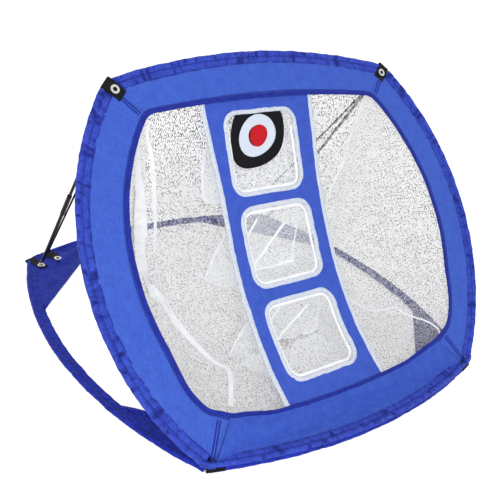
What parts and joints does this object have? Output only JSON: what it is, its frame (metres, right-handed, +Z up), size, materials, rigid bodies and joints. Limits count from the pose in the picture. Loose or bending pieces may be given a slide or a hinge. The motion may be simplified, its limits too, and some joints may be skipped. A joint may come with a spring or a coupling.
{
  "type": "golf chipping net",
  "caption": "Pop-up golf chipping net: leaning fabric front with target pockets and a net bag, flat base hoop, support rods.",
  "frame": {"origin": "on the ground, under the middle of the base and front hoops' outline", "axes": "+X to the right seen from the front, +Y from the front edge towards the back of the base, +Z up"},
  "size_m": [0.7266, 0.6876, 0.4435],
  "materials": {
    "wire": "satin",
    "sleeve_fabric": "matt woven",
    "base_fabric": "matt woven",
    "lower_fabric": "matt woven",
    "panel_fabric": "matt woven",
    "strip_fabric": "matt woven",
    "white_tape": "matt",
    "white_net": "open mesh",
    "bright_metal": "polished",
    "black_webbing": "ribbed",
    "rod_coating": "satin",
    "black_elastic": "braided",
    "black_cloth": "matt",
    "white_print": "matt",
    "red_print": "matt"
  },
  "bodies": {
    "base": {"base_hoop_wire": "wire", "base_sleeve_left": "sleeve_fabric", "base_sleeve_right": "sleeve_fabric", "base_sleeve_back": "sleeve_fabric", "base_sleeve_front": "sleeve_fabric", "gusset_front_left": "base_fabric", "gusset_front_right": "base_fabric", "gusset_back_left": "base_fabric", "gusset_back_right": "base_fabric", "front_edge_wire": "wire", "front_edge_sleeve": "sleeve_fabric", "front_apron": "lower_fabric", "hinge_strap_left": "black_webbing", "hinge_strap_right": "black_webbing", "base_tab_left": "black_webbing", "base_tab_right": "black_webbing", "spare_tab_left": "black_webbing", "spare_tab_right": "black_webbing", "base_eyelet_left": "bright_metal", "base_eyelet_right": "bright_metal", "spare_eyelet_left": "bright_metal", "spare_eyelet_right": "bright_metal"},
    "panel": {"panel_hoop_wire": "wire", "panel_sleeve_left": "sleeve_fabric", "panel_sleeve_right": "sleeve_fabric", "panel_sleeve_top": "sleeve_fabric", "border_left": "panel_fabric", "border_right": "panel_fabric", "border_top": "panel_fabric", "border_bottom": "lower_fabric", "centre_strip": "strip_fabric", "strip_binding_left": "white_tape", "strip_binding_right": "white_tape", "hole_binding_top": "white_tape", "hole_binding_middle": "white_tape", "hole_binding_bottom": "white_tape", "pocket_top": "white_net", "pocket_middle": "white_net", "pocket_bottom": "white_net", "net_bag": "white_net", "top_tab_left": "black_webbing", "top_tab_right": "black_webbing", "top_eyelet_left": "bright_metal", "top_eyelet_right": "bright_metal", "elastic_cord_left": "black_elastic", "elastic_cord_right": "black_elastic"},
    "target_flap": {"target_patch": "black_cloth", "target_white_ring": "white_print", "target_red_spot": "red_print"},
    "rod_left": {"rod_lower_left": "rod_coating", "rod_ferrule_left": "rod_coating", "rod_upper_left": "rod_coating", "rod_tips_left": "bright_metal"},
    "rod_right": {"rod_lower_right": "rod_coating", "rod_ferrule_right": "rod_coating", "rod_upper_right": "rod_coating", "rod_tips_right": "bright_metal"}
  },
  "joints": [
    {"name": "panel_fold", "type": "hinge", "parent": "base", "child": "panel", "pos_m": [0, -0.2975, 0.0098], "axis": [1, 0, 0], "range_deg": [-34, 0], "deforming": ["net_bag", "pocket_top", "pocket_middle", "pocket_bottom", "elastic_cord_left", "elastic_cord_right"]},
    {"name": "target_flap_swing", "type": "hinge", "parent": "panel", "child": "target_flap", "pos_m": [-0.02, 0.00733, 0.3644], "axis": [1, 0, 0], "range_deg": [0, 14]},
    {"name": "rod_left_lay_back", "type": "hinge", "parent": "base", "child": "rod_left", "pos_m": [-0.25475, 0.26431, 0.00845], "axis": [1, 0, 0], "range_deg": [-113.73, 0]},
    {"name": "rod_right_lay_back", "type": "hinge", "parent": "base", "child": "rod_right", "pos_m": [0.25475, 0.26431, 0.00845], "axis": [1, 0, 0], "range_deg": [-113.73, 0]}
  ],
  "couplings": [
    {"joint": "rod_left_lay_back", "follows": "panel_fold", "ratio": 3.345},
    {"joint": "rod_right_lay_back", "follows": "panel_fold", "ratio": 3.345}
  ]
}
